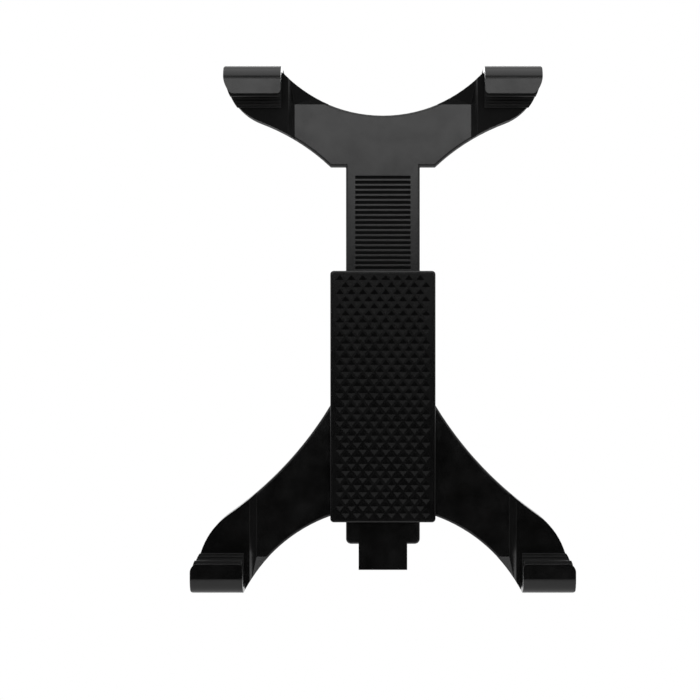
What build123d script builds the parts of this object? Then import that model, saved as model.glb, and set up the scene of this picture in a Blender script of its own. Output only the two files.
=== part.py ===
from build123d import *
from math import atan2, degrees, hypot, sqrt
import os

# Headrest tablet mount: the sliding claw cradle that grips a tablet behind a car seat.
# Lengths are in millimetres. +Z runs up the stem, the tablet side faces -Y, and the origin is
# the centre of the ball seat. A depth is a distance in front of that centre, towards the
# tablet, so Plane.XZ.offset(depth) is the plane at that depth.

# Ball socket
ball_radius = 8.5
ball_clearance = 0.1
seat_floor = 2.0
finger_wall = 2.6
finger_reach = 5.0
finger_count = 6
finger_slot = 1.4
finger_root = 3.6
finger_chamfer = 1.0
flange_thickness = 3.0
flange_margin = 0.375
flange_height = 34.0
flange_corner = 4.0

# Clamp ring
ring_clearance = 0.3
ring_wall = 3.6
ring_gap = 0.4
ring_lip = 2.0
ring_mouth_clearance = 0.8
ring_flute_count = 16
ring_flute_radius = 1.9
ring_flute_depth = 0.9
ring_chamfer = 0.8

# Body
body_width = 41.0
body_height = 98.0
body_corner = 1.4
rear_wall = 2.2
back_edge = 0.6
cover_thickness = 3.0
cover_edge = 0.5
pad_recess = 0.8
pad_rim = 0.8
pad_gap = 0.1
pad_thickness = 2.0

# Diamond pits of the pad
pit_pitch_x = 4.47
pit_pitch_z = 5.5
pit_columns = 8
pit_rows = 17
pit_width = 3.2
pit_height = 3.9
pit_depth = 0.55
pit_floor_width = 0.4

# Stem and its travel
stem_width = 28.9
stem_thickness = 5.0
slide_clearance = 0.2
shoulder_gap = 41.0
tail_length = 8.8
tail_corner = 2.0
tongue_width = 19.0
tongue_length = 10.1
groove_pitch = 1.97
groove_height = 1.2
groove_width = 21.6
groove_depth = 1.0
first_groove_drop = 4.35
down_click_count = 20
up_click_count = 40
stop_slot_width = 14.0
stop_slot_depth = 2.2
stop_clearance = 0.3

# Click spring
spring_thickness = 0.3
spring_width = 9.0
spring_root = 13.0
spring_length = 27.0
spring_bump = 1.1
spring_tip = 2.2
spring_bite = 0.25
spring_pocket_depth = 1.5
spring_pocket_gap = 0.6
spring_pin_radius = 0.9
spring_pin_height = 0.7
spring_pin_fit = 0.05

# Frames: moulded skins with a rim and ribs behind
frame_skin = 2.6
frame_rim = 1.8
frame_rib = 1.6
frame_rib_count = 4
frame_edge = 0.8
upper_frame_depth = 6.0
lower_frame_front = 17.0
claw_ramp = 2.4

# Upper yoke
upper_claw_inner = 39.0
upper_claw_outer = 61.0
upper_claw_top = 127.5
upper_arch_radius = 54.8
upper_arch_drop = 1.3
upper_crease_x = 34.5
upper_crease_drop = 13.3
upper_lip_height = 11.3
upper_lip_sweep = 7.0
upper_lip_inset = 3.0
upper_liner_reach = 15.1
upper_liner_inset = 4.4
upper_elbow_inset = 13.0
upper_elbow_drop = 20.3
upper_elbow_angle = 20.5
upper_side_length = 6.0

# Lower yoke
lower_claw_inner = 53.6
lower_claw_outer = 73.7
lower_claw_bottom = -75.1
lower_arch_radius = 61.2
lower_crease_x = 49.5
lower_crease_rise = 12.2
lower_lip_height = 11.8
lower_lip_sweep = 3.3
lower_lip_inset = 2.4
lower_liner_reach = 14.1
lower_liner_inset = 2.4
lower_arm_top = -3.4
lower_arm_root = 1.0
lower_elbow_inset = 13.4
lower_elbow_rise = 29.0
lower_elbow_angle = -35.0
lower_wrist_inset = 3.5
lower_wrist_rise = 16.4
lower_side_length = 6.8

# Hooks and their rubber liners
hook_wall = 2.2
hook_bend = 6.0
hook_small_corner = 1.6
claw_corner = 1.4
tablet_slot = 9.2
liner_base = 0.9
liner_rib = 0.4
liner_wall = 3.4
liner_rib_pitch = 1.2
liner_groove = 0.6
liner_inset = 0.6
liner_lip_reach = 0.9
liner_corner = 0.6
bond_gap = 0.05

# Screws
screw_radius = 1.0
screw_clearance = 0.2
thread_fit = 0.03
screw_head_radius = 1.9
screw_head_height = 1.4
screw_head_gap = 0.15
screw_recess_radius = 0.9
screw_recess_sides = 6
screw_recess_depth = 0.8
cover_screw_inset = 7.0
cover_boss_radius = 2.1
cover_boss_length = 4.0
cover_boss_fit = 0.1
cover_screw_grip = 1.6
socket_screw_z = 12.0
socket_screw_length = 7.0
stop_screw_radius = 1.25
stop_screw_head_radius = 2.6
stop_screw_drop = 13.0
stop_tip_gap = 0.4

# Depths, from the ball's centre to the tablet
seat_radius = ball_radius + ball_clearance
body_back = seat_radius + seat_floor
channel_back = body_back + rear_wall
stem_back = channel_back + slide_clearance
stem_front = stem_back + stem_thickness
cover_back = stem_front + slide_clearance
cover_front = cover_back + cover_thickness
pad_seat = cover_front - pad_recess
bearing_plane = pad_seat + pad_thickness
claw_floor = bearing_plane - liner_base - liner_rib
lip_back = bearing_plane + tablet_slot + liner_base
lip_front = lip_back + hook_wall
upper_frame_back = stem_front - upper_frame_depth

head_seat = body_back + screw_head_height + screw_head_gap
boss_end = cover_back - cover_boss_length
flange_back = body_back - flange_thickness
socket_head_seat = flange_back + screw_head_height + screw_head_gap
stop_tip_depth = stem_back + stop_slot_depth - stop_tip_gap

# Heights along the stem
body_top = body_height / 2
shoulder_z = body_top + shoulder_gap
tail_z = -body_top - tail_length
travel_down = down_click_count * groove_pitch
travel_up = up_click_count * groove_pitch
first_groove_z = shoulder_z - first_groove_drop
click_z = first_groove_z - (down_click_count + 1) * groove_pitch
groove_count = down_click_count + up_click_count + 2
groove_middle = first_groove_z - (groove_count - 1) * groove_pitch / 2
cover_screw_z = body_top - cover_screw_inset
stop_screw_z = body_top - stop_screw_drop
slot_reach = stop_screw_radius + stop_clearance
slot_top = stop_screw_z + travel_down + slot_reach
slot_bottom = stop_screw_z - travel_up - slot_reach
upper_crease_z = upper_claw_top - upper_crease_drop
lower_crease_z = lower_claw_bottom + lower_crease_rise

# Widths
body_half = body_width / 2
channel_half = stem_width / 2 + slide_clearance
rail_x = (channel_half + body_half) / 2
flange_width = 2 * (rail_x + screw_head_radius + screw_head_gap + flange_margin)
upper_arch_end = upper_claw_top - upper_arch_drop
upper_arch_z = upper_arch_end + sqrt(upper_arch_radius**2 - upper_claw_inner**2)
lower_arch_z = lower_claw_bottom - sqrt(lower_arch_radius**2 - lower_claw_inner**2)
cut_margin = 1.0


def arch_point(x, radius, centre_z, side):
    """Point of a concave arch at x; side is +1 above its centre and -1 below."""
    return (x, centre_z + side * sqrt(radius**2 - x**2))


def upper_outline():
    """Right half of the upper yoke, from the shoulder to the claw and back along the arch."""
    with BuildSketch() as outline:
        with BuildLine():
            foot = Line((0, shoulder_z), (body_half, shoulder_z))
            elbow = (upper_claw_outer - upper_elbow_inset, upper_claw_top - upper_elbow_drop)
            slope = Vector(1, 0).rotate(Axis.Z, upper_elbow_angle)
            side_foot = (upper_claw_outer, upper_claw_top - upper_side_length)
            TangentArc(elbow, foot @ 1, tangent=-slope)
            TangentArc(elbow, side_foot, tangent=slope)
            side = Line(side_foot, (upper_claw_outer, upper_claw_top - claw_corner))
            corner_end = (upper_claw_outer - claw_corner, upper_claw_top)
            corner = TangentArc(side @ 1, corner_end, tangent=side % 1)
            top = Line(corner @ 1, (upper_claw_inner, upper_claw_top))
            step = Line(top @ 1, (upper_claw_inner, upper_arch_end))
            middle = arch_point(upper_claw_inner / 2, upper_arch_radius, upper_arch_z, -1)
            apex = arch_point(0, upper_arch_radius, upper_arch_z, -1)
            arch = ThreePointArc(step @ 1, middle, apex)
            Line(arch @ 1, foot @ 0)
        make_face()
    return outline.sketch


def lower_outline():
    """Right lower arm, from its root in the body to the claw and back along the arch."""
    with BuildSketch() as outline:
        with BuildLine():
            root_x = body_half - lower_arm_root
            root = Line((root_x, lower_arm_top), (body_half, lower_arm_top))
            elbow = (lower_claw_outer - lower_elbow_inset, lower_claw_bottom + lower_elbow_rise)
            slope = Vector(1, 0).rotate(Axis.Z, lower_elbow_angle)
            wrist = (lower_claw_outer - lower_wrist_inset, lower_claw_bottom + lower_wrist_rise)
            side_top = (lower_claw_outer, lower_claw_bottom + lower_side_length)
            TangentArc(elbow, root @ 1, tangent=-slope)
            TangentArc(elbow, wrist, tangent=slope)
            Line(wrist, side_top)
            side = Line(side_top, (lower_claw_outer, lower_claw_bottom + claw_corner))
            corner_end = (lower_claw_outer - claw_corner, lower_claw_bottom)
            corner = TangentArc(side @ 1, corner_end, tangent=side % 1)
            bottom = Line(corner @ 1, (lower_claw_inner, lower_claw_bottom))
            middle_x = (lower_claw_inner + root_x) / 2
            middle = arch_point(middle_x, lower_arch_radius, lower_arch_z, 1)
            arch_end = arch_point(root_x, lower_arch_radius, lower_arch_z, 1)
            arch = ThreePointArc(bottom @ 1, middle, arch_end)
            Line(arch @ 1, root @ 0)
        make_face()
    return outline.sketch


def claw_floors(outline, plate_front, crease_x, crease_z, far_z, ramp_z):
    """Raised floors of both claws: the outline beyond the creases, reached over short ramps."""
    sunk = frame_edge + cut_margin
    with BuildPart() as floors:
        with BuildSketch(Plane.XZ.offset(plate_front - sunk)):
            add(outline)
            mirror(about=Plane.YZ)
        extrude(amount=claw_floor - plate_front + sunk)
        with BuildSketch(Plane.XZ.offset(plate_front - sunk)):
            with Locations((0, (crease_z + far_z) / 2)):
                Rectangle(2 * crease_x, abs(crease_z - far_z))
        extrude(amount=sunk, mode=Mode.SUBTRACT)
        with BuildSketch(Plane.XZ.offset(plate_front)):
            with Locations((0, (crease_z + far_z) / 2)):
                Rectangle(2 * crease_x, abs(crease_z - far_z))
        with BuildSketch(Plane.XZ.offset(claw_floor)):
            with Locations((0, (ramp_z + far_z) / 2)):
                Rectangle(2 * (crease_x + claw_ramp), abs(ramp_z - far_z))
        loft(mode=Mode.SUBTRACT)
    return floors.part


def rib_places(first_x, last_x):
    """Evenly spaced rib positions from first_x to last_x."""
    step = (last_x - first_x) / (frame_rib_count - 1)
    return [first_x + step * index for index in range(frame_rib_count)]


def ribs(places, height, top):
    """Leaves ribs standing in the pocket that the open sketch cuts."""
    for rib_x in places:
        with Locations((rib_x, top - height / 2), (-rib_x, top - height / 2)):
            Rectangle(frame_rib, height, mode=Mode.SUBTRACT)


def claw_windows(inner, outer, bottom, top):
    """Area behind the two raised claws, outside the ribs at their inner sides."""
    near = inner + frame_rib / 2
    with BuildSketch() as windows:
        for side in (-1, 1):
            with Locations((side * (near + outer) / 2, (bottom + top) / 2)):
                Rectangle(outer - near, top - bottom)
    return windows.sketch


def hook(inner, outer, edge, towards, lip_height, lip_sweep, lip_inset):
    """J-shaped hook: a wall forward from the claw floor, a bend and a lip.

    edge is the height of the wall's outer face, towards is the lip's direction along Z. Over its
    last lip_sweep the outer side curves in by lip_inset.
    """
    tip = edge + towards * lip_height
    root = claw_floor - frame_skin / 2
    with BuildPart() as claw:
        with BuildSketch(Plane.YZ.offset(inner)):
            with BuildLine():
                wall = edge + towards * hook_wall
                outside = FilletPolyline(
                    (-root, edge), (-lip_front, edge), (-lip_front, tip), radius=hook_bend
                )
                inside = FilletPolyline(
                    (-root, wall), (-lip_back, wall), (-lip_back, tip), radius=hook_bend - hook_wall
                )
                Line(outside @ 0, inside @ 0)
                Line(outside @ 1, inside @ 1)
            make_face()
        extrude(amount=outer - inner)
        with BuildSketch(Plane.XZ.offset(root)):
            with BuildLine():
                across = Line((inner, edge), (outer - claw_corner, edge))
                corner_end = (outer, edge + towards * claw_corner)
                corner = TangentArc(across @ 1, corner_end, tangent=across % 1)
                side = Line(corner @ 1, (outer, tip - towards * lip_sweep))
                sweep_end = (outer - lip_inset, tip)
                TangentArc(side @ 1, sweep_end, tangent=side % 1)
                Polyline(sweep_end, (inner, tip), across @ 0)
            make_face()
        extrude(amount=lip_front - root, mode=Mode.INTERSECT)
        at_tip = claw.edges().filter_by(Axis.Y).filter_by_position(Axis.Z, tip, tip)
        fillet(at_tip, radius=hook_small_corner)
    return claw.part


def liner(inner, outer, edge, towards, lip_height, lip_sweep, reach, floor_inset):
    """Rubber channel that lines a hook: ribbed floor and wall, plain under the lip.

    reach is the floor's length from the hook's outer face. Past the lip's straight side the outer
    side curves in, to floor_inset at the floor's tip.
    """
    wall_outside = edge + towards * (hook_wall + bond_gap)
    wall_inside = wall_outside + towards * liner_wall
    lip_outside = lip_back - bond_gap
    floor_outside = claw_floor + bond_gap
    floor_tip = edge + towards * reach
    lip_tip = edge + towards * (lip_height + liner_lip_reach)
    far_side = outer - liner_inset
    near_side = inner + liner_inset
    length = outer - inner - 2 * liner_inset
    middle = (inner + outer) / 2
    bend = hook_bend - hook_wall - bond_gap
    with BuildPart() as lining:
        with BuildSketch(Plane.YZ.offset(inner + liner_inset)):
            with BuildLine():
                outside = FilletPolyline(
                    (-floor_outside, floor_tip),
                    (-floor_outside, wall_outside),
                    (-lip_outside, wall_outside),
                    (-lip_outside, lip_tip),
                    radius=(liner_corner, bend),
                )
                inside = FilletPolyline(
                    (-bearing_plane, floor_tip),
                    (-bearing_plane, wall_inside),
                    (-lip_outside + liner_base, wall_inside),
                    (-lip_outside + liner_base, lip_tip),
                    radius=(liner_corner, bend - liner_base),
                )
                Line(outside @ 0, inside @ 0)
                Line(outside @ 1, inside @ 1)
            make_face()
        extrude(amount=length)
        with BuildSketch(Plane.XZ.offset(floor_outside)):
            with BuildLine():
                side_end = (far_side, edge + towards * (lip_height - lip_sweep))
                side = Line((far_side, edge), side_end)
                sweep_end = (outer - floor_inset, floor_tip)
                TangentArc(side @ 1, sweep_end, tangent=side % 1)
                Polyline(sweep_end, (near_side, floor_tip), (near_side, edge), side @ 0)
            make_face()
        extrude(amount=lip_outside - floor_outside, mode=Mode.INTERSECT)
        floor_span = abs(floor_tip - wall_inside)
        floor_grooves = int(floor_span / liner_rib_pitch)
        floor_middle = floor_tip - towards * floor_grooves * liner_rib_pitch / 2
        with BuildSketch(Plane.XZ.offset(bearing_plane)):
            with Locations((middle, floor_middle)):
                with GridLocations(length, liner_rib_pitch, 1, floor_grooves):
                    Rectangle(length, liner_groove)
        extrude(amount=-liner_rib, mode=Mode.SUBTRACT)
        wall_grooves = int((tablet_slot - hook_bend) / liner_rib_pitch) + 1
        wall_middle = bearing_plane + liner_corner + wall_grooves * liner_rib_pitch / 2
        into_wall = (0, 0, -towards)
        with BuildSketch(Plane((middle, -wall_middle, wall_inside), (1, 0, 0), into_wall)):
            with GridLocations(length, liner_rib_pitch, 1, wall_grooves):
                Rectangle(length, liner_groove)
        extrude(amount=liner_rib, mode=Mode.SUBTRACT)
    return lining.part


def screw(head_depth, length, radius, head_radius, head_height):
    """Screw along -Y with its head's seat at head_depth, its tip rounded off by a chamfer."""
    with BuildPart() as fastener:
        with BuildSketch(Plane.XZ.offset(head_depth - head_height)):
            Circle(head_radius)
        extrude(amount=head_height)
        chamfer(fastener.edges().sort_by(Axis.Y)[-1], length=head_height / 3)
        with BuildSketch(Plane.XZ.offset(head_depth)):
            Circle(radius)
        extrude(amount=length)
        chamfer(fastener.edges().sort_by(Axis.Y)[0], length=radius / 3)
        with BuildSketch(Plane.XZ.offset(head_depth - head_height)):
            RegularPolygon(screw_recess_radius, screw_recess_sides)
        extrude(amount=screw_recess_depth, mode=Mode.SUBTRACT)
    return fastener.part


# Upper frame: stem, yoke, claw floors and hooks in one moulding
with BuildPart() as upper_frame:
    with BuildSketch(Plane.XZ.offset(stem_back)) as stem_outline:
        with Locations((0, (shoulder_z + cut_margin + tail_z) / 2)):
            Rectangle(stem_width, shoulder_z + cut_margin - tail_z)
        fillet(stem_outline.vertices().group_by(Axis.Y)[0], radius=tail_corner)
        with Locations((0, tail_z - tongue_length / 2)):
            Rectangle(tongue_width, tongue_length)
    extrude(amount=stem_thickness)
    with BuildSketch(Plane.XZ.offset(upper_frame_back)):
        add(upper_outline())
        mirror(about=Plane.YZ)
    extrude(amount=upper_frame_depth)
    front_edges = upper_frame.edges().group_by(Axis.Y)[0]
    shoulder_edges = front_edges.filter_by_position(Axis.Z, shoulder_z, shoulder_z)
    fillet(front_edges.filter_by(GeomType.CIRCLE) + shoulder_edges, radius=frame_edge)
    add(
        claw_floors(
            upper_outline(), stem_front, upper_crease_x, upper_crease_z, shoulder_z, upper_claw_top
        )
    )
    upper_hook = hook(
        upper_claw_inner,
        upper_claw_outer,
        upper_claw_top,
        -1,
        upper_lip_height,
        upper_lip_sweep,
        upper_lip_inset,
    )
    add(upper_hook)
    add(mirror(upper_hook, about=Plane.YZ, mode=Mode.PRIVATE))

    # Moulded back: a rim and ribs stand behind the skin, deeper behind the raised claws
    upper_ribs = rib_places(stop_slot_width / 2, upper_claw_inner)
    with BuildSketch(Plane.XZ.offset(upper_frame_back)):
        add(upper_outline())
        mirror(about=Plane.YZ)
        offset(amount=-frame_rim)
        ribs(upper_ribs, upper_claw_top - shoulder_z, upper_claw_top)
    extrude(amount=upper_frame_depth - frame_skin, mode=Mode.SUBTRACT)
    with BuildSketch(Plane.XZ.offset(upper_frame_back)):
        add(upper_outline())
        mirror(about=Plane.YZ)
        offset(amount=-frame_rim)
        upper_windows = claw_windows(upper_claw_inner, upper_claw_outer, shoulder_z, upper_claw_top)
        add(upper_windows, mode=Mode.INTERSECT)
    extrude(amount=claw_floor - frame_skin - upper_frame_back, mode=Mode.SUBTRACT)

    # Click grooves across the stem's front
    with BuildSketch(Plane.XZ.offset(stem_front)):
        with Locations((0, groove_middle)):
            with GridLocations(groove_width, groove_pitch, 1, groove_count):
                Rectangle(groove_width, groove_height)
    extrude(amount=-groove_depth, mode=Mode.SUBTRACT)

    # Channel behind the stem, its ends stop the travel against the stop screw's tip
    with BuildSketch(Plane.XZ.offset(stem_back)):
        with Locations((0, (slot_top + slot_bottom) / 2)):
            Rectangle(stop_slot_width, slot_top - slot_bottom)
    extrude(amount=stop_slot_depth, mode=Mode.SUBTRACT)
upper_frame.part.label = "upper_frame"

# Rear housing: channel for the stem, lower arms, claw floors and hooks in one moulding
with BuildPart() as body_block:
    with BuildSketch(Plane.XZ.offset(body_back)):
        RectangleRounded(body_width, body_height, body_corner)
    extrude(amount=cover_back - body_back)
    fillet(body_block.edges().group_by(Axis.Y)[-1], radius=back_edge)
with BuildPart() as rear_housing:
    with BuildSketch(Plane.XZ.offset(body_back)):
        add(lower_outline())
        mirror(about=Plane.YZ)
    extrude(amount=lower_frame_front - body_back)
    front_rim = rear_housing.edges().group_by(Axis.Y)[0].filter_by(GeomType.CIRCLE)
    fillet(front_rim, radius=frame_edge)
    add(body_block.part)
    add(
        claw_floors(
            lower_outline(),
            lower_frame_front,
            lower_crease_x,
            lower_crease_z,
            lower_arm_top,
            lower_claw_bottom,
        )
    )
    lower_hook = hook(
        lower_claw_inner,
        lower_claw_outer,
        lower_claw_bottom,
        1,
        lower_lip_height,
        lower_lip_sweep,
        lower_lip_inset,
    )
    add(lower_hook)
    add(mirror(lower_hook, about=Plane.YZ, mode=Mode.PRIVATE))

    # Moulded back of the arms
    lower_ribs = rib_places(body_half, lower_claw_inner)
    with BuildSketch(Plane.XZ.offset(body_back)):
        add(lower_outline())
        offset(amount=-frame_rim)
        mirror(about=Plane.YZ)
        ribs(lower_ribs, lower_arm_top - lower_claw_bottom, lower_arm_top)
    extrude(amount=lower_frame_front - frame_skin - body_back, mode=Mode.SUBTRACT)
    with BuildSketch(Plane.XZ.offset(body_back)):
        add(lower_outline())
        offset(amount=-frame_rim)
        mirror(about=Plane.YZ)
        lower_windows = claw_windows(lower_claw_inner, lower_claw_outer, lower_claw_bottom, lower_arm_top)
        add(lower_windows, mode=Mode.INTERSECT)
    extrude(amount=claw_floor - frame_skin - body_back, mode=Mode.SUBTRACT)

    # Channel and bores
    with BuildSketch(Plane.XZ.offset(channel_back)):
        Rectangle(2 * channel_half, body_height + 2 * cut_margin)
    extrude(amount=cover_back - channel_back, mode=Mode.SUBTRACT)
    with BuildSketch(Plane.XZ.offset(body_back)):
        with GridLocations(2 * rail_x, 2 * cover_screw_z, 2, 2):
            Circle(screw_head_radius + screw_head_gap)
    extrude(amount=head_seat - body_back, mode=Mode.SUBTRACT)
    with BuildSketch(Plane.XZ.offset(head_seat)):
        with GridLocations(2 * rail_x, 2 * cover_screw_z, 2, 2):
            Circle(screw_radius + screw_clearance)
    extrude(amount=boss_end - head_seat, mode=Mode.SUBTRACT)
    with BuildSketch(Plane.XZ.offset(cover_back)):
        with GridLocations(2 * rail_x, 2 * cover_screw_z, 2, 2):
            Circle(cover_boss_radius + cover_boss_fit)
    extrude(amount=-cover_boss_length - cover_boss_fit, mode=Mode.SUBTRACT)
    with BuildSketch(Plane.XZ.offset(body_back)):
        with GridLocations(2 * rail_x, 2 * socket_screw_z, 2, 2):
            Circle(screw_radius + thread_fit)
    extrude(
        amount=socket_head_seat + socket_screw_length + stop_clearance - body_back,
        mode=Mode.SUBTRACT,
    )
    with BuildSketch(Plane.XZ.offset(body_back)):
        with Locations((0, stop_screw_z)):
            Circle(stop_screw_radius + thread_fit)
    extrude(amount=rear_wall, mode=Mode.SUBTRACT)
rear_housing.part.label = "rear_housing"

# Front cover: closes the channel, carries the pad and the click spring
pocket_floor = cover_back + spring_pocket_depth
pocket_top = click_z + spring_tip + spring_pocket_gap
pocket_bottom = click_z - spring_length - spring_pocket_gap
pin_z = click_z - spring_length + spring_root / 2
with BuildPart() as front_cover:
    with BuildSketch(Plane.XZ.offset(cover_back)):
        RectangleRounded(body_width, body_height, body_corner)
    extrude(amount=cover_thickness)
    fillet(front_cover.edges().group_by(Axis.Y)[0], radius=cover_edge)
    with BuildSketch(Plane.XZ.offset(cover_front)):
        RectangleRounded(body_width - 2 * pad_rim, body_height - 2 * pad_rim, body_corner)
    extrude(amount=-pad_recess, mode=Mode.SUBTRACT)
    with BuildSketch(Plane.XZ.offset(cover_back)):
        with GridLocations(2 * rail_x, 2 * cover_screw_z, 2, 2):
            Circle(cover_boss_radius)
    extrude(amount=-cover_boss_length)
    with BuildSketch(Plane.XZ.offset(boss_end)):
        with GridLocations(2 * rail_x, 2 * cover_screw_z, 2, 2):
            Circle(screw_radius + thread_fit)
    extrude(amount=cover_boss_length + cover_screw_grip + stop_clearance, mode=Mode.SUBTRACT)
    with BuildSketch(Plane.XZ.offset(cover_back)):
        with Locations((0, (pocket_top + pocket_bottom) / 2)):
            Rectangle(spring_width + 2 * spring_pocket_gap, pocket_top - pocket_bottom)
    extrude(amount=spring_pocket_depth, mode=Mode.SUBTRACT)
    with BuildSketch(Plane.XZ.offset(pocket_floor)):
        with Locations((0, pin_z)):
            Circle(spring_pin_radius)
    extrude(amount=-spring_pin_height)
front_cover.part.label = "front_cover"

# Grip pad: soft sheet with diamond pits in rows that are staggered by half a pitch
pit_inradius = pit_width * pit_height / 2 / hypot(pit_width, pit_height)
pit_draft = degrees(atan2(pit_inradius * (1 - pit_floor_width / pit_width), pit_depth))
with BuildPart() as pit:
    with BuildSketch(Plane.XY):
        Polygon(
            (pit_width / 2, 0), (0, pit_height / 2), (-pit_width / 2, 0), (0, -pit_height / 2)
        )
    extrude(amount=-pit_depth)
    draft(pit.faces().sort_by(Axis.Z)[1:-1], neutral_plane=Plane.XY, angle=-pit_draft)
with BuildPart() as grip_pad:
    pad_width = body_width - 2 * (pad_rim + pad_gap)
    pad_height = body_height - 2 * (pad_rim + pad_gap)
    with BuildSketch(Plane.XZ.offset(pad_seat)):
        RectangleRounded(pad_width, pad_height, body_corner)
    extrude(amount=pad_thickness)
    for stagger in (-1, 1):
        field_middle = (stagger * pit_pitch_x / 4, -bearing_plane, -stagger * pit_pitch_z / 4)
        with Locations(Plane(field_middle, x_dir=(1, 0, 0), z_dir=(0, -1, 0))):
            with GridLocations(pit_pitch_x, pit_pitch_z, pit_columns, pit_rows):
                add(pit.part, mode=Mode.SUBTRACT)
grip_pad.part.label = "grip_pad"

# Click spring: leaf with a bump that drops into a groove of the stem
with BuildPart() as click_spring:
    leaf_depth = pocket_floor - spring_thickness / 2
    bump_depth = stem_front - spring_bite
    crest_depth = bump_depth + spring_bump
    with BuildSketch(Plane.YZ.offset(-spring_width / 2)):
        with BuildLine():
            Polyline(
                (-leaf_depth, click_z - spring_length),
                (-leaf_depth, click_z - spring_length + spring_root),
                (-crest_depth, click_z - spring_bump),
                (-bump_depth, click_z),
                (-crest_depth, click_z + spring_bump),
                (-crest_depth, click_z + spring_tip),
            )
        trace(line_width=spring_thickness)
    extrude(amount=spring_width)
    with BuildSketch(Plane.XZ.offset(pocket_floor)):
        with Locations((0, pin_z)):
            Circle(spring_pin_radius + spring_pin_fit)
    extrude(amount=-spring_pin_height, mode=Mode.SUBTRACT)
click_spring.part.label = "click_spring"

# Ball socket: flange, cup and slotted fingers
mouth_depth = -finger_reach
finger_radius = seat_radius + finger_wall
with BuildPart() as ball_socket:
    with BuildSketch(Plane.XZ.offset(flange_back)):
        RectangleRounded(flange_width, flange_height, flange_corner)
    extrude(amount=flange_thickness)
    chamfer(ball_socket.edges().group_by(Axis.Y)[-1], length=frame_edge)
    with BuildSketch(Plane.XZ.offset(mouth_depth)):
        Circle(finger_radius)
    extrude(amount=flange_back - mouth_depth)
    chamfer(ball_socket.edges().group_by(Axis.Y)[-1], length=finger_chamfer)
    Sphere(seat_radius, mode=Mode.SUBTRACT)
    with BuildSketch(Plane.XZ.offset(mouth_depth)):
        Circle(seat_radius)
    extrude(amount=-mouth_depth, mode=Mode.SUBTRACT)
    slot_floor = flange_back - finger_root
    with BuildSketch(Plane.XZ.offset(mouth_depth)):
        with PolarLocations(0, finger_count // 2, angular_range=180):
            Rectangle(2 * (finger_radius + cut_margin), finger_slot)
    extrude(amount=slot_floor - mouth_depth, mode=Mode.SUBTRACT)
    with BuildSketch(Plane.XZ.offset(flange_back)):
        with GridLocations(2 * rail_x, 2 * socket_screw_z, 2, 2):
            Circle(screw_head_radius + screw_head_gap)
    extrude(amount=socket_head_seat - flange_back, mode=Mode.SUBTRACT)
    with BuildSketch(Plane.XZ.offset(socket_head_seat)):
        with GridLocations(2 * rail_x, 2 * socket_screw_z, 2, 2):
            Circle(screw_radius + screw_clearance)
    extrude(amount=body_back - socket_head_seat, mode=Mode.SUBTRACT)
ball_socket.part.label = "ball_socket"

# Clamp ring: fluted nut whose cone closes the fingers on the ball
ring_bore = finger_radius + ring_clearance
ring_radius = ring_bore + ring_wall
ring_mouth = seat_radius + ring_mouth_clearance
ring_front = -(flange_back - ring_gap)
ring_shoulder = finger_reach - finger_chamfer
ring_end = finger_reach + ring_lip
with BuildPart() as clamp_ring:
    with BuildSketch(Plane.XY):
        with BuildLine():
            Polyline(
                (ring_bore, ring_front),
                (ring_radius - ring_chamfer, ring_front),
                (ring_radius, ring_front + ring_chamfer),
                (ring_radius, ring_end - ring_chamfer),
                (ring_radius - ring_chamfer, ring_end),
                (ring_mouth, ring_end),
                (ring_mouth, ring_end - ring_chamfer),
                (ring_bore, ring_shoulder),
                close=True,
            )
        make_face()
    revolve(axis=Axis.Y)
    with BuildSketch(Plane.XZ.offset(-ring_end)):
        flute_centre = ring_radius + ring_flute_radius - ring_flute_depth
        with PolarLocations(flute_centre, ring_flute_count):
            Circle(ring_flute_radius)
    extrude(amount=ring_end - ring_front, mode=Mode.SUBTRACT)
clamp_ring.part.label = "clamp_ring"

# Claw liners
upper_lining = liner(
    upper_claw_inner,
    upper_claw_outer,
    upper_claw_top,
    -1,
    upper_lip_height,
    upper_lip_sweep,
    upper_liner_reach,
    upper_liner_inset,
)
lower_lining = liner(
    lower_claw_inner,
    lower_claw_outer,
    lower_claw_bottom,
    1,
    lower_lip_height,
    lower_lip_sweep,
    lower_liner_reach,
    lower_liner_inset,
)
with BuildPart() as upper_right_claw_pad:
    add(upper_lining)
upper_right_claw_pad.part.label = "upper_right_claw_pad"
with BuildPart() as upper_left_claw_pad:
    add(mirror(upper_lining, about=Plane.YZ, mode=Mode.PRIVATE))
upper_left_claw_pad.part.label = "upper_left_claw_pad"
with BuildPart() as lower_right_claw_pad:
    add(lower_lining)
lower_right_claw_pad.part.label = "lower_right_claw_pad"
with BuildPart() as lower_left_claw_pad:
    add(mirror(lower_lining, about=Plane.YZ, mode=Mode.PRIVATE))
lower_left_claw_pad.part.label = "lower_left_claw_pad"

# Screws
cover_screw = screw(
    head_seat,
    cover_back + cover_screw_grip - head_seat,
    screw_radius,
    screw_head_radius,
    screw_head_height,
)
socket_screw = screw(
    socket_head_seat, socket_screw_length, screw_radius, screw_head_radius, screw_head_height
)
travel_screw = screw(
    body_back, stop_tip_depth - body_back, stop_screw_radius, stop_screw_head_radius, screw_head_height
)
with BuildPart() as cover_screws:
    for side_x in (-rail_x, rail_x):
        with Locations((side_x, 0, cover_screw_z), (side_x, 0, -cover_screw_z)):
            add(cover_screw)
cover_screws.part.label = "cover_screws"
with BuildPart() as socket_screws:
    for side_x in (-rail_x, rail_x):
        with Locations((side_x, 0, socket_screw_z), (side_x, 0, -socket_screw_z)):
            add(socket_screw)
socket_screws.part.label = "socket_screws"
with BuildPart() as stop_screw:
    with Locations((0, 0, stop_screw_z)):
        add(travel_screw)
stop_screw.part.label = "stop_screw"

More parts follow.
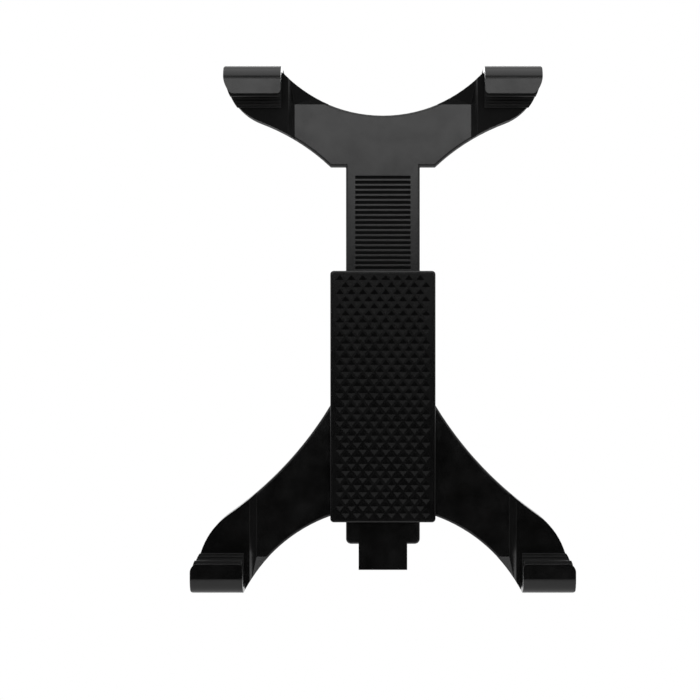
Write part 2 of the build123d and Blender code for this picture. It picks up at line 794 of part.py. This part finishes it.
os.makedirs("parts", exist_ok=True)
export_step(upper_frame.part, "parts/upper_frame.step")
export_step(rear_housing.part, "parts/rear_housing.step")
export_step(front_cover.part, "parts/front_cover.step")
export_step(grip_pad.part, "parts/grip_pad.step")
export_step(click_spring.part, "parts/click_spring.step")
export_step(ball_socket.part, "parts/ball_socket.step")
export_step(clamp_ring.part, "parts/clamp_ring.step")
export_step(upper_left_claw_pad.part, "parts/upper_left_claw_pad.step")
export_step(upper_right_claw_pad.part, "parts/upper_right_claw_pad.step")
export_step(lower_left_claw_pad.part, "parts/lower_left_claw_pad.step")
export_step(lower_right_claw_pad.part, "parts/lower_right_claw_pad.step")
export_step(cover_screws.part, "parts/cover_screws.step")
export_step(socket_screws.part, "parts/socket_screws.step")
export_step(stop_screw.part, "parts/stop_screw.step")
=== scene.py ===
import math

import bpy
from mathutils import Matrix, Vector


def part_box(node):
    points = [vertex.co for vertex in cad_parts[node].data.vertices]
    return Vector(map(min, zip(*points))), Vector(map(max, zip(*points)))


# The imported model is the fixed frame. Lengths are in metres, +Z runs up the stem and the tablet
# side faces -Y. Every CAD node keeps its shape and gets a procedural material here.
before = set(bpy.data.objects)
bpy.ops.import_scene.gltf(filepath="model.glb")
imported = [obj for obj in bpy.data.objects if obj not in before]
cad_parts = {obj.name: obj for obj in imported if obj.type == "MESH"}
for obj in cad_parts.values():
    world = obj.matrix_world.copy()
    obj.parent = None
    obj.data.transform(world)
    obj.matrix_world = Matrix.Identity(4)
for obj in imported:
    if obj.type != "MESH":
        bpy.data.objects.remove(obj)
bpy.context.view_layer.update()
MM = 0.001

# Level camera, squarely in front of the tablet side. The shift sets the object a little to the
# right of the picture's middle and above it, as in the photograph.
CAMERA_PLACE = (0.0, -0.685, 0.0266)
CAMERA_LENS = 87.7
CAMERA_SENSOR = 36.0
CAMERA_SHIFT = (-0.047, -0.031)

# Depths of the upper frame and the pad that decide where their painted shade goes
PLATE_FRONT = -18.0 * MM
GROOVE_DEPTH = 1.0 * MM
PIT_SKIN = 0.02 * MM
CLAW_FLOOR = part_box("upper_left_claw_pad")[1][1]
PAD_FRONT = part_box("grip_pad")[0][1]

# How far a face's normal points forward, sideways, up or outward to count as such
FRONT_FACING = 0.7
SIDE_FACING = 0.3
LEVEL_FACING = 0.05
END_FACING = 0.85

# Features of the finishes: how large they are, and how much they darken, lighten or dull
NOISE_MIDDLE = (0.3, 0.7)
EDGE_TURN = (0.80, 0.995)
EDGE_SAMPLES = 6
SMOOTH_ANGLE = math.radians(32)
CLOUD_SIZE = 14.0 * MM
CLOUD_SHADES = (0.88, 1.14)
SPECK_GRAINS = 3
SPECK_SHADE = 1.5
SPECK_SHARE = 0.35
SMUDGE_SIZE = 9.0 * MM
SMUDGE_GLOSS = (-0.05, 0.06)
# Painted highlight along edges: the size of its patches and its weakest share
HIGHLIGHT_PATCH_SIZE = 5.0 * MM
HIGHLIGHT_PATCH_LEAST = 0.25
MOULDED_EDGE = 0.25 * MM
METAL_EDGE = 0.12 * MM
# How much lighter metal edges are painted, as a highlight
METAL_EDGE_HIGHLIGHT = 1.4
METAL_CLOUD_SIZE = 2.5 * MM
METAL_SMUDGE_SIZE = 1.2 * MM
METAL_SMUDGE_GLOSS = (-0.08, 0.10)
METAL_GRAIN_DEPTH = 0.01 * MM

# Floor: its glow is what the camera sees, and mirrored rays see that share of it
FLOOR_Z = -0.30
FLOOR_SIZE = 1.5
FLOOR_COLOUR = (0.65, 0.65, 0.65, 1.0)
FLOOR_ROUGHNESS = 0.9
FLOOR_GLOW = 0.52
FLOOR_MIRRORED = 0.5

# Sky: the sine of the elevation and the level there
SKY_STOPS = ((-0.08, 0.0), (0.20, 0.0), (1.0, 0.80))

# White backdrop that pieces mirror: the axis, where along it the white starts and is full, and
# its level. It stands behind the object, below it and at both sides.
BACKDROP = (
    ("Y", 0.10, 0.40, 1.0),
    ("Z", -0.20, -0.60, 0.5),
    ("X", 0.70, 0.95, 0.5),
    ("X", -0.70, -0.95, 0.5),
)
WHITE = (1.0, 1.0, 1.0, 1.0)


class Nodes:
    """A material's node tree with one Principled shader and short ways to add to it."""

    def __init__(self, name):
        self.material = bpy.data.materials.new(name)
        self.material.use_nodes = True
        self.tree = self.material.node_tree
        self.tree.nodes.clear()
        self.output = self.add("ShaderNodeOutputMaterial")
        self.shader = self.add("ShaderNodeBsdfPrincipled")
        self.join(self.shader, "BSDF", self.output, "Surface")
        self.place = self.add("ShaderNodeTexCoord")

    def add(self, kind, **settings):
        """New node with its settings."""
        node = self.tree.nodes.new(kind)
        for key, value in settings.items():
            setattr(node, key, value)
        return node

    def join(self, source, output, target, socket):
        """Links a node's output to another's socket."""
        self.tree.links.new(source.outputs[output], target.inputs[socket])

    def noise(self, size, detail=2.0, roughness=0.5):
        """Noise whose features are about size metres across, fixed to the piece."""
        node = self.add("ShaderNodeTexNoise")
        node.inputs["Scale"].default_value = 1 / size
        node.inputs["Detail"].default_value = detail
        node.inputs["Roughness"].default_value = roughness
        self.join(self.place, "Object", node, "Vector")
        return node

    def remap(self, source, output, start, end, low, high):
        """Value that goes from low to high as the output goes from start to end."""
        node = self.add("ShaderNodeMapRange")
        node.inputs["From Min"].default_value = start
        node.inputs["From Max"].default_value = end
        node.inputs["To Min"].default_value = low
        node.inputs["To Max"].default_value = high
        self.join(source, output, node, "Value")
        return node

    def spread(self, noise, low, high):
        """A noise's middle range as low to high."""
        return self.remap(noise, "Fac", *NOISE_MIDDLE, low, high)

    def blend(self, factor, output, first, second):
        """Colour that goes from first to second with the factor. First may be a node's output."""
        node = self.add("ShaderNodeMix", data_type="RGBA")
        self.join(factor, output, node, "Factor")
        for socket, colour in (("A", first), ("B", second)):
            target = [s for s in node.inputs if s.name == socket and s.type == "RGBA"][0]
            if isinstance(colour, tuple):
                target.default_value = colour
            else:
                self.tree.links.new(colour, target)
        return [s for s in node.outputs if s.type == "RGBA"][0]

    def edges(self, radius):
        """Rounded normal, and a mask that is 1 along edges and 0 on flat ground."""
        bevel = self.add("ShaderNodeBevel", samples=EDGE_SAMPLES)
        bevel.inputs["Radius"].default_value = radius
        ground = self.add("ShaderNodeNewGeometry")
        turn = self.add("ShaderNodeVectorMath", operation="DOT_PRODUCT")
        self.join(bevel, "Normal", turn, 0)
        self.join(ground, "Normal", turn, 1)
        return bevel, self.remap(turn, "Value", *EDGE_TURN, 1.0, 0.0)

    def grain(self, bevel, noise, strength, depth):
        """Bumps the rounded normal by the noise."""
        bump = self.add("ShaderNodeBump")
        bump.inputs["Strength"].default_value = strength
        bump.inputs["Distance"].default_value = depth
        self.join(noise, "Fac", bump, "Height")
        self.join(bevel, "Normal", bump, "Normal")
        self.join(bump, "Normal", self.shader, "Normal")


def grey(value, warmth=0.0):
    """Near-neutral colour, a little bluer with negative warmth."""
    return (value * (1 + warmth), value, value * (1 - warmth), 1.0)


def moulded(name, colour, roughness, grain, depth, edge_highlight_colour, specular=0.5):
    """Moulded plastic or rubber: eroded grain, cloudy colour, smudged gloss and a painted highlight
    that lightens the edges in patches.
    """
    nodes = Nodes(name)
    bevel, edges = nodes.edges(MOULDED_EDGE)
    cloudy = nodes.spread(nodes.noise(CLOUD_SIZE, detail=4.0, roughness=0.6), 0.0, 1.0)
    dark, light = (colour * shade for shade in CLOUD_SHADES)
    base = nodes.blend(cloudy, "Result", grey(dark, -0.01), grey(light, 0.01))
    specks = nodes.spread(nodes.noise(grain * SPECK_GRAINS), 0.0, SPECK_SHARE)
    base = nodes.blend(specks, "Result", base, grey(colour * SPECK_SHADE))
    # Painted highlight: along edges, in noisy patches, the colour turns lighter
    edge_highlight = nodes.add("ShaderNodeMath", operation="MULTIPLY")
    highlight_patches = nodes.spread(nodes.noise(HIGHLIGHT_PATCH_SIZE, detail=5.0), HIGHLIGHT_PATCH_LEAST, 1.0)
    nodes.join(edges, "Result", edge_highlight, 0)
    nodes.join(highlight_patches, "Result", edge_highlight, 1)
    base = nodes.blend(edge_highlight, "Value", base, grey(edge_highlight_colour))
    nodes.tree.links.new(base, nodes.shader.inputs["Base Color"])

    sharp, dull = (roughness + change for change in SMUDGE_GLOSS)
    gloss = nodes.spread(nodes.noise(SMUDGE_SIZE, detail=6.0, roughness=0.65), sharp, dull)
    nodes.join(gloss, "Result", nodes.shader, "Roughness")
    nodes.shader.inputs["Specular IOR Level"].default_value = specular
    nodes.grain(bevel, nodes.noise(grain, detail=3.0, roughness=0.6), strength=0.5, depth=depth)
    return nodes.material


def metal(name, dark, light, roughness, grain):
    """Plated or bare steel with fine uneven gloss and a painted highlight that lightens every edge."""
    nodes = Nodes(name)
    bevel, edges = nodes.edges(METAL_EDGE)
    cloudy = nodes.spread(nodes.noise(METAL_CLOUD_SIZE, detail=4.0), 0.0, 1.0)
    base = nodes.blend(cloudy, "Result", grey(dark, -0.02), grey(light, 0.01))
    # Painted highlight: every edge is lighter
    base = nodes.blend(edges, "Result", base, grey(light * METAL_EDGE_HIGHLIGHT))
    nodes.tree.links.new(base, nodes.shader.inputs["Base Color"])
    nodes.shader.inputs["Metallic"].default_value = 1.0

    sharp, dull = (roughness + change for change in METAL_SMUDGE_GLOSS)
    gloss = nodes.spread(nodes.noise(METAL_SMUDGE_SIZE, detail=5.0), sharp, dull)
    nodes.join(gloss, "Result", nodes.shader, "Roughness")
    nodes.grain(bevel, nodes.noise(grain, detail=3.0), strength=0.3, depth=METAL_GRAIN_DEPTH)
    return nodes.material


def dress(material, *names):
    """Gives CAD nodes their material and smooth shading across their curved faces."""
    for name in names:
        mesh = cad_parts[name].data
        mesh.materials.clear()
        mesh.materials.append(material)
        mesh.polygons.foreach_set("use_smooth", [True] * len(mesh.polygons))
        mesh.set_sharp_from_angle(angle=SMOOTH_ANGLE)


def second_finish(name, material, chosen):
    """Gives the chosen faces of a CAD node another material."""
    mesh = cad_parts[name].data
    mesh.materials.append(material)
    for face in mesh.polygons:
        if chosen(face.center, face.normal):
            face.material_index = 1


def painted_shade_face(center, normal):
    """True behind the hooks on groove floors, claw floors and side walls, but not on outer ends: the
    faces that get painted shade.
    """
    front = normal.y < -FRONT_FACING
    beyond_plate = abs(center.y - PLATE_FRONT) > GROOVE_DEPTH / 2
    outer_end = center.x * normal.x > 0 and abs(normal.x) > END_FACING
    side = abs(normal.y) < SIDE_FACING and not outer_end
    return center.y > CLAW_FLOOR - GROOVE_DEPTH and (side or front and beyond_plate)


def pit_face(center, normal):
    """True on the floors and the overhanging walls of the pad's pits, which light from above misses."""
    return center.y > PAD_FRONT + PIT_SKIN and normal.y < -SIDE_FACING and normal.z < LEVEL_FACING


def combine(tree, operation, first, second):
    """Math node on two outputs, or on an output and a number."""
    node = tree.nodes.new("ShaderNodeMath")
    node.operation = operation
    tree.links.new(first, node.inputs[0])
    if isinstance(second, float):
        node.inputs[1].default_value = second
    else:
        tree.links.new(second, node.inputs[1])
    return node.outputs["Value"]


def light_path(tree):
    """Outputs that are 1 for camera rays, and 1 for rays mirrored or let through by a piece."""
    rays = tree.nodes.new("ShaderNodeLightPath").outputs
    mirrored = combine(tree, "MAXIMUM", rays["Is Glossy Ray"], rays["Is Transmission Ray"])
    return rays["Is Camera Ray"], mirrored


def sky_level(tree, height):
    """Colour of the plain sky, which is dark near the horizon and brightest overhead."""
    ramp = tree.nodes.new("ShaderNodeValToRGB")
    stops = ramp.color_ramp.elements
    while len(stops) < len(SKY_STOPS):
        stops.new(1.0)
    for stop, (rise, level) in zip(stops, SKY_STOPS):
        stop.position = (rise + 1) / 2
        stop.color = (level, level, level, 1.0)
    share = tree.nodes.new("ShaderNodeMapRange")
    share.inputs["From Min"].default_value = -1.0
    share.inputs["From Max"].default_value = 1.0
    tree.links.new(height, share.inputs["Value"])
    tree.links.new(share.outputs["Result"], ramp.inputs["Fac"])
    return ramp.outputs["Color"]


def backdrop_share(tree, direction):
    """How white the backdrop is where a mirrored ray goes."""
    whole = None
    for axis, start, full, level in BACKDROP:
        share = tree.nodes.new("ShaderNodeMapRange")
        share.inputs["From Min"].default_value = start
        share.inputs["From Max"].default_value = full
        share.inputs["To Max"].default_value = level
        tree.links.new(direction[axis], share.inputs["Value"])
        part = share.outputs["Result"]
        whole = combine(tree, "MAXIMUM", whole, part) if whole else part
    return whole


def sky():
    """World that is white to the camera, lights by a plain sky and is mirrored as BACKDROP says."""
    world = bpy.data.worlds.new("studio_sky")
    bpy.context.scene.world = world
    world.use_nodes = True
    tree = world.node_tree
    tree.nodes.clear()
    output = tree.nodes.new("ShaderNodeOutputWorld")
    mixer = tree.nodes.new("ShaderNodeMixShader")
    light = tree.nodes.new("ShaderNodeBackground")
    white = tree.nodes.new("ShaderNodeBackground")
    place = tree.nodes.new("ShaderNodeTexCoord")
    split = tree.nodes.new("ShaderNodeSeparateXYZ")
    tree.links.new(place.outputs["Generated"], split.inputs["Vector"])
    tree.links.new(sky_level(tree, split.outputs["Z"]), light.inputs["Color"])
    white.inputs["Color"].default_value = WHITE
    seen, mirrored = light_path(tree)
    mirrored = combine(tree, "MULTIPLY", mirrored, backdrop_share(tree, split.outputs))
    tree.links.new(combine(tree, "MAXIMUM", seen, mirrored), mixer.inputs["Fac"])
    tree.links.new(light.outputs["Background"], mixer.inputs[1])
    tree.links.new(white.outputs["Background"], mixer.inputs[2])
    tree.links.new(mixer.outputs["Shader"], output.inputs["Surface"])


def floor():
    """Pale floor well below the object, white to the camera where no shadow falls."""
    half = FLOOR_SIZE / 2
    around = ((-half, -half), (half, -half), (half, half), (-half, half))
    mesh = bpy.data.meshes.new("studio_floor")
    mesh.from_pydata([(x, y, FLOOR_Z) for x, y in around], [], [(0, 1, 2, 3)])
    ground = bpy.data.objects.new("studio_floor", mesh)
    bpy.context.scene.collection.objects.link(ground)
    nodes = Nodes("studio_floor")
    nodes.shader.inputs["Base Color"].default_value = FLOOR_COLOUR
    nodes.shader.inputs["Roughness"].default_value = FLOOR_ROUGHNESS
    nodes.shader.inputs["Specular IOR Level"].default_value = 0.0
    nodes.shader.inputs["Emission Color"].default_value = WHITE
    seen, mirrored = light_path(nodes.tree)
    mirrored = combine(nodes.tree, "MULTIPLY", mirrored, FLOOR_MIRRORED)
    shown = combine(nodes.tree, "MAXIMUM", seen, mirrored)
    glow = combine(nodes.tree, "MULTIPLY", shown, FLOOR_GLOW)
    nodes.tree.links.new(glow, nodes.shader.inputs["Emission Strength"])
    mesh.materials.append(nodes.material)


def lamp(name, place, target, size, power):
    """Rectangular soft box that looks at target."""
    data = bpy.data.lights.new(name, "AREA")
    data.shape = "RECTANGLE"
    data.size, data.size_y = size
    data.energy = power
    box = bpy.data.objects.new(name, data)
    bpy.context.scene.collection.objects.link(box)
    box.location = place
    aim = Vector(target) - Vector(place)
    box.rotation_euler = aim.to_track_quat("-Z", "Y").to_euler()


def lamps():
    """The key box mirrors in the upper plate, and its lower edge fades out down the stem."""
    lamp("key_box", place=(0.0, -1.05, 0.32), target=(0.0, 0.0, 0.32), size=(0.7, 0.36), power=1.6)
    lamp("top_box", place=(0.0, -0.35, 1.0), target=(0.0, 0.0, 0.05), size=(1.5, 1.1), power=4.2)
    for side in (-1, 1):
        place = (side * 0.80, -0.85, 0.25)
        lamp("side_box", place, target=(0.0, 0.0, 0.0), size=(0.5, 0.6), power=0.75)
    lamp("back_box", place=(0.0, 1.40, 0.60), target=(0.0, 0.0, 0.60), size=(1.3, 0.66), power=4.0)


def camera():
    """Camera at the photograph's viewing angle."""
    data = bpy.data.cameras.new("photo_camera")
    data.sensor_width = CAMERA_SENSOR
    data.lens = CAMERA_LENS
    data.shift_x, data.shift_y = CAMERA_SHIFT
    eye = bpy.data.objects.new("photo_camera", data)
    bpy.context.scene.collection.objects.link(eye)
    eye.location = CAMERA_PLACE
    eye.rotation_euler = (math.pi / 2, 0.0, 0.0)
    bpy.context.scene.camera = eye


def plastics():
    """Glossy black mouldings. Behind the hooks, the upper frame's groove floors, claw floors and side
    walls get a duller, weakly reflecting plastic: painted shade.
    """
    glossy = moulded("frame_plastic", 0.003, 0.20, grain=0.30 * MM, depth=0.035 * MM, edge_highlight_colour=0.05)
    ring = moulded("ring_plastic", 0.005, 0.30, grain=0.20 * MM, depth=0.030 * MM, edge_highlight_colour=0.05)
    # Painted shade: rougher, weakly reflecting plastic with dimmer edges for recesses and faces under
    # the hooks
    painted_shade = moulded("painted_shade_plastic", 0.003, 0.60, 0.16 * MM, 0.020 * MM, edge_highlight_colour=0.01, specular=0.15)
    dress(glossy, "upper_frame", "rear_housing", "front_cover", "ball_socket")
    dress(ring, "clamp_ring")
    second_finish("upper_frame", painted_shade, painted_shade_face)


def rubbers():
    """Black rubber of the pad and the liners. The floors and overhanging walls of the pad's pits get a
    darker, duller rubber: painted shade.
    """
    fine = {"grain": 0.12 * MM, "depth": 0.015 * MM}
    pad = moulded("pad_rubber", 0.002, 0.27, edge_highlight_colour=0.02, specular=0.22, **fine)
    # Painted shade in the pad's pits: darker colour, dimmer sheen and edges
    painted_pit_shade = moulded("pit_painted_shade", 0.0015, 0.60, edge_highlight_colour=0.003, specular=0.06, **fine)
    liner = moulded("liner_rubber", 0.004, 0.55, edge_highlight_colour=0.02, specular=0.35, **fine)
    dress(pad, "grip_pad")
    second_finish("grip_pad", painted_pit_shade, pit_face)
    for claw in ("upper_left", "upper_right", "lower_left", "lower_right"):
        dress(liner, claw + "_claw_pad")


def metals():
    """Black plated screws and the bright click spring."""
    black_zinc = metal("black_zinc", dark=0.05, light=0.09, roughness=0.36, grain=0.10 * MM)
    spring_steel = metal("spring_steel", dark=0.42, light=0.55, roughness=0.28, grain=0.08 * MM)
    dress(black_zinc, "cover_screws", "stop_screw", "socket_screws")
    dress(spring_steel, "click_spring")


plastics()
rubbers()
metals()
sky()
floor()
lamps()
camera()

bpy.context.scene.view_settings.view_transform = "Standard"
